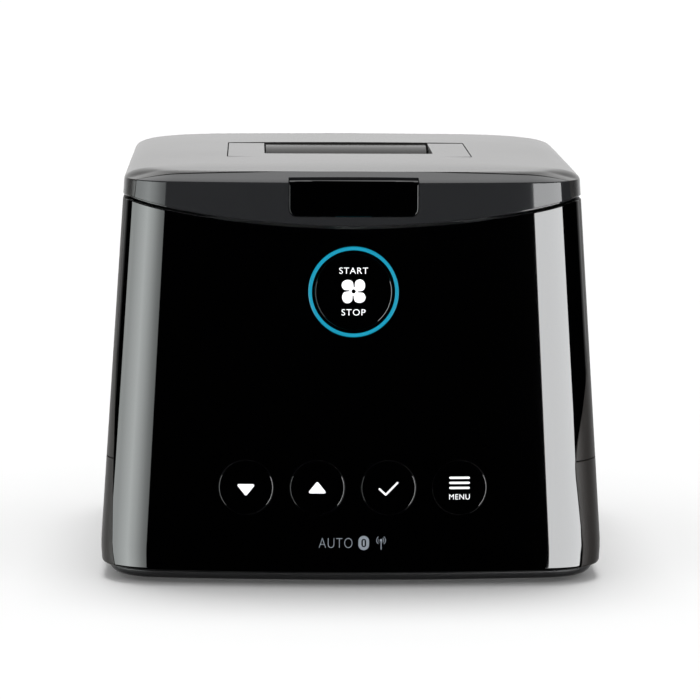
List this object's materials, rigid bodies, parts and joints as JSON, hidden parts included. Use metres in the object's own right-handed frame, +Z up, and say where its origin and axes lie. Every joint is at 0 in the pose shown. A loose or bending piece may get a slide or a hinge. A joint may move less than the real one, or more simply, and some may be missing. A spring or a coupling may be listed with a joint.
{
  "type": "positive airway pressure machine",
  "caption": "Bedside breathing-therapy air machine: tapered gloss front with round press buttons, hinged lid with flush carry handle over a heated water chamber.",
  "frame": {"origin": "on the floor, under the middle of the overall box", "axes": "-Y is the front with the buttons, +Y the back with the air outlet, +Z up"},
  "size_m": [0.1696, 0.2118, 0.1391],
  "materials": {
    "satin_housing": "satin dark grey moulded plastic",
    "gloss_front": "high gloss black plastic",
    "lid_grey": "semi-gloss dark grey plastic",
    "base_grey": "fine textured dark grey plastic",
    "inner_grey": "satin mid-grey plastic",
    "light_ring": "cyan translucent light guide, lit",
    "silicone": "soft grey silicone",
    "rubber": "black rubber",
    "clear_plastic": "clear polycarbonate",
    "steel": "plain steel",
    "aluminium": "cast aluminium",
    "circuit_board": "green solder mask",
    "filter_pad": "white filter fleece"
  },
  "bodies": {
    "housing": {"base_tray": "base_grey", "lower_housing": "satin_housing", "upper_housing": "satin_housing", "front_cover": "gloss_front", "start_light_ring": "light_ring", "keypad_mat": "silicone", "start_switch_pad": "silicone", "status_display": "inner_grey", "control_board": "circuit_board", "power_supply_board": "circuit_board", "mains_transformer": "steel", "power_inlet": "base_grey", "blower_housing": "inner_grey", "blower_cover": "inner_grey", "blower_motor": "steel", "blower_mount": "rubber", "blower_outlet_seal": "silicone", "intake_duct": "inner_grey", "air_filter": "filter_pad", "heater_plate": "aluminium", "heater_insulator": "silicone", "bay_deck": "inner_grey", "chamber_bay": "inner_grey", "water_chamber": "clear_plastic", "chamber_base_plate": "steel", "chamber_seal": "silicone", "chamber_lid": "clear_plastic", "outlet_port": "inner_grey", "latch_catch": "steel", "lid_hinge_pin": "steel", "foot_front_left": "rubber", "foot_front_right": "rubber", "foot_rear_left": "rubber", "foot_rear_right": "rubber", "base_screw_front_left": "steel", "base_screw_front_right": "steel", "base_screw_rear_left": "steel", "base_screw_rear_right": "steel"},
    "lid": {"lid_cover": "lid_grey", "lid_front_trim": "lid_grey", "lid_liner": "inner_grey", "lid_seal": "silicone", "handle_tray": "lid_grey", "finger_scoop": "lid_grey", "handle_pin_left": "steel", "handle_pin_right": "steel"},
    "carry_handle": {"carry_handle": "lid_grey"},
    "lid_release": {"release_button": "gloss_front", "release_latch": "steel"},
    "start_button": {"start_button": "gloss_front"},
    "down_button": {"down_button": "gloss_front"},
    "up_button": {"up_button": "gloss_front"},
    "confirm_button": {"confirm_button": "gloss_front"},
    "menu_button": {"menu_button": "gloss_front"},
    "impeller": {"impeller": "inner_grey"},
    "filter_cover": {"filter_cover": "satin_housing"},
    "card_flap": {"card_flap": "satin_housing"}
  },
  "joints": [
    {"name": "lid_hinge", "type": "hinge", "parent": "housing", "child": "lid", "pos_m": [0, 0.1002, 0.1288], "axis": [-1, 0, 0], "range_deg": [0, 80]},
    {"name": "handle_hinge", "type": "hinge", "parent": "lid", "child": "carry_handle", "pos_m": [0, 0.0295, 0.1355], "axis": [-1, 0, 0], "range_deg": [0, 90]},
    {"name": "lid_release_press", "type": "slide", "parent": "lid", "child": "lid_release", "axis": [0, 1, 0], "range_m": [0, 0.0025], "stiffness_N_per_m": 1500, "springref_m": -0.001},
    {"name": "start_button_press", "type": "slide", "parent": "housing", "child": "start_button", "axis": [0, 0.9986, -0.0523], "range_m": [0, 0.0009], "stiffness_N_per_m": 900, "springref_m": -0.001},
    {"name": "down_button_press", "type": "slide", "parent": "housing", "child": "down_button", "axis": [0, 0.9986, -0.0523], "range_m": [0, 0.0008], "stiffness_N_per_m": 700, "springref_m": -0.001},
    {"name": "up_button_press", "type": "slide", "parent": "housing", "child": "up_button", "axis": [0, 0.9986, -0.0523], "range_m": [0, 0.0008], "stiffness_N_per_m": 700, "springref_m": -0.001},
    {"name": "confirm_button_press", "type": "slide", "parent": "housing", "child": "confirm_button", "axis": [0, 0.9986, -0.0523], "range_m": [0, 0.0008], "stiffness_N_per_m": 700, "springref_m": -0.001},
    {"name": "menu_button_press", "type": "slide", "parent": "housing", "child": "menu_button", "axis": [0, 0.9986, -0.0523], "range_m": [0, 0.0008], "stiffness_N_per_m": 700, "springref_m": -0.001},
    {"name": "impeller_spin", "type": "hinge", "parent": "housing", "child": "impeller", "pos_m": [-0.024, 0.0555, 0.08], "axis": [0, 0, 1], "continuous": true},
    {"name": "filter_cover_hinge", "type": "hinge", "parent": "housing", "child": "filter_cover", "pos_m": [-0.021, 0.09588, 0.066], "axis": [-1, 0, 0], "range_deg": [0, 90]},
    {"name": "card_flap_hinge", "type": "hinge", "parent": "housing", "child": "card_flap", "pos_m": [0.031, 0.09684, 0.018], "axis": [-1, 0, 0], "range_deg": [0, 90]}
  ]
}
